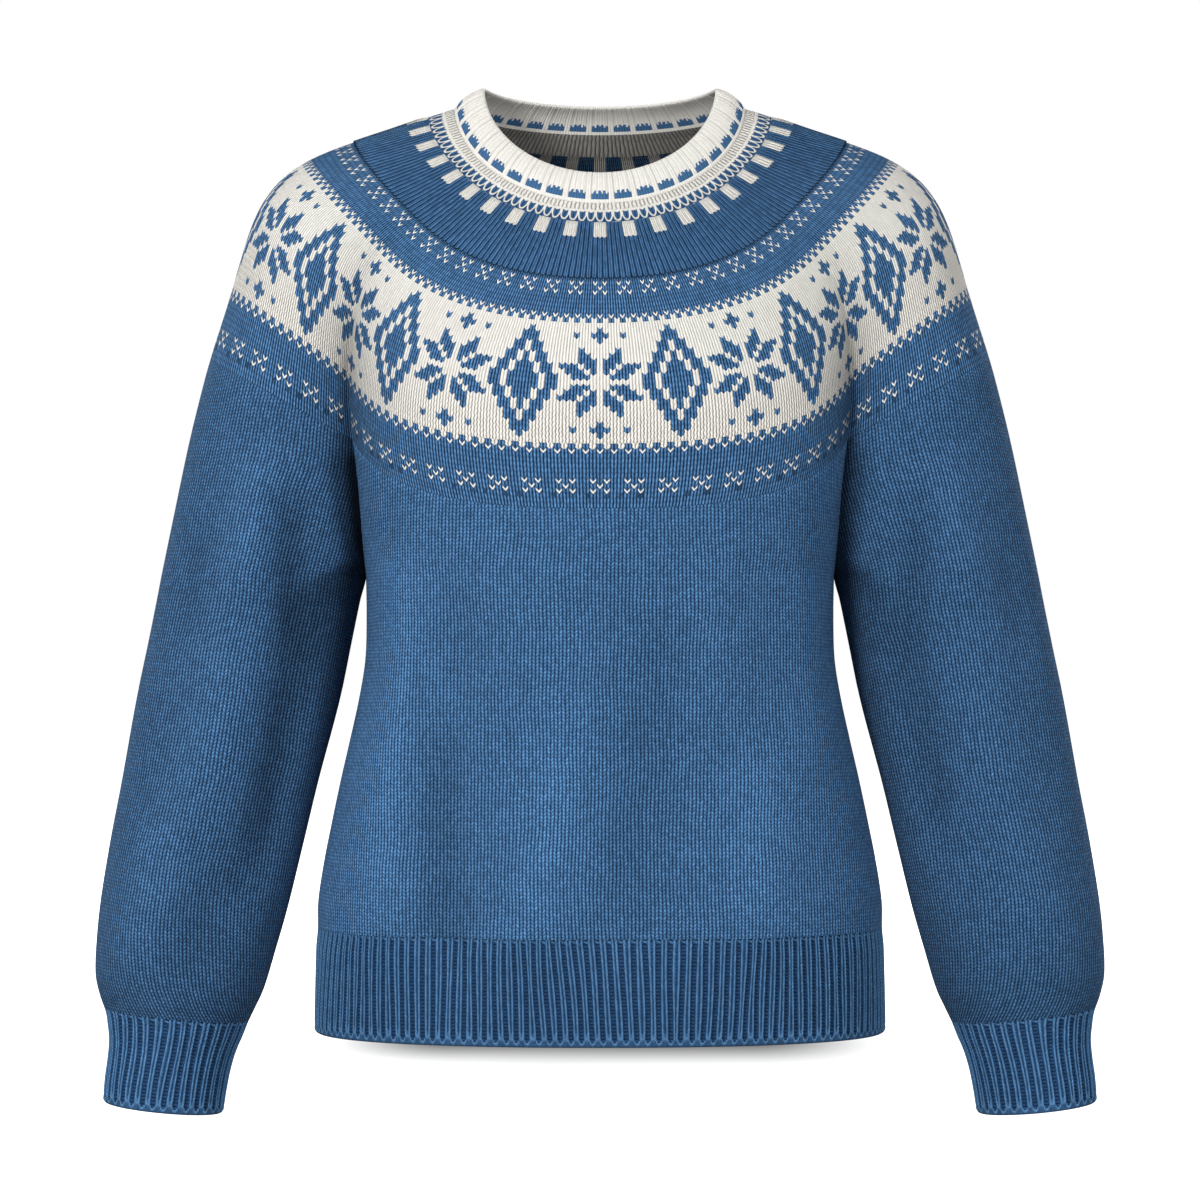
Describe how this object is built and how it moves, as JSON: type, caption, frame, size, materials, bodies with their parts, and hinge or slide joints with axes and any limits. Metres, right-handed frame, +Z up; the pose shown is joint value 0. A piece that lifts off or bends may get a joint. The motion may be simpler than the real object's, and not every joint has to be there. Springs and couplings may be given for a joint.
{
  "type": "jumper",
  "caption": "Round-yoke knitted jumper with long sleeves, ribbed neckband, cuffs and hem, and a patterned yoke, held out as if worn.",
  "frame": {"origin": "middle of the neck, level with the ends of the shoulder lines at the neckband, where it is held", "axes": "+Z up, front of the garment faces -Y, +X to the right of someone looking at the front"},
  "size_m": [0.6922, 0.234, 0.7065],
  "materials": {
    "blue_knit": "mid blue wool stocking stitch, matt with a soft sheen",
    "blue_rib": "mid blue wool one-by-one rib, matt",
    "cream_rib": "cream wool one-by-one rib with a row of blue dashes, matt",
    "colourwork": "two-colour stranded knit in blue and cream wool, matt"
  },
  "bodies": {
    "root": {"yoke": "colourwork", "front": "blue_knit", "back": "blue_knit", "sleeve_left": "blue_knit", "sleeve_right": "blue_knit", "hem_rib": "blue_rib", "cuff_left": "blue_rib", "cuff_right": "blue_rib", "neckband": "cream_rib"}
  },
  "joints": []
}
